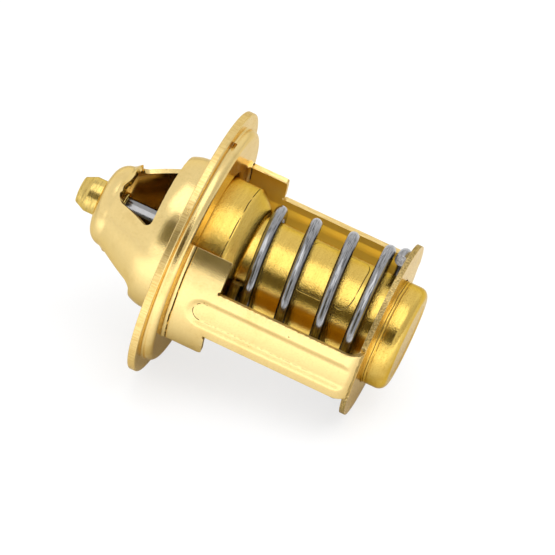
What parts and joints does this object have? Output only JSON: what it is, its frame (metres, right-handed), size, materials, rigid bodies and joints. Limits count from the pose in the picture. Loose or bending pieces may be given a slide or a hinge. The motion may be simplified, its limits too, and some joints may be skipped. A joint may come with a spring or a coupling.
{
  "type": "engine coolant valve insert",
  "caption": "Wax driven coolant temperature valve insert with a round clamping flange, a windowed bonnet, a spring cage and a sliding sleeve valve.",
  "frame": {"origin": "centre of the flange, in the plane of its nose side face", "axes": "+X along the valve's axis from the nose to the cage end, the way the valve opens; the cage legs at +Y and -Y; the bonnet windows at +Z and -Z"},
  "size_m": [0.0854, 0.067, 0.067],
  "materials": {
    "stamped_brass": "satin bright-dipped sheet",
    "turned_brass": "turned",
    "drawn_brass": "drawn and brushed round the axis",
    "polished_steel": "ground and polished",
    "spring_steel": "bright drawn wire",
    "white_plastic": "smooth",
    "black_rubber": "matt",
    "filled_wax": "waxy, full of copper powder"
  },
  "bodies": {
    "frame": {"bonnet": "stamped_brass", "nose_bush": "turned_brass", "piston_rod": "polished_steel", "flange_ring": "stamped_brass", "cage": "stamped_brass", "spring": "spring_steel"},
    "valve": {"valve_cup": "drawn_brass", "capsule": "drawn_brass", "guide_bush": "turned_brass", "backup_ring": "white_plastic", "rubber_boot": "black_rubber", "wax_charge": "filled_wax"}
  },
  "joints": [
    {"name": "valve_lift", "type": "slide", "parent": "frame", "child": "valve", "axis": [1, 0, 0], "range_m": [0, 0.0085], "stiffness_N_per_m": 2700, "springref_m": -0.015, "deforming": ["spring"]}
  ]
}
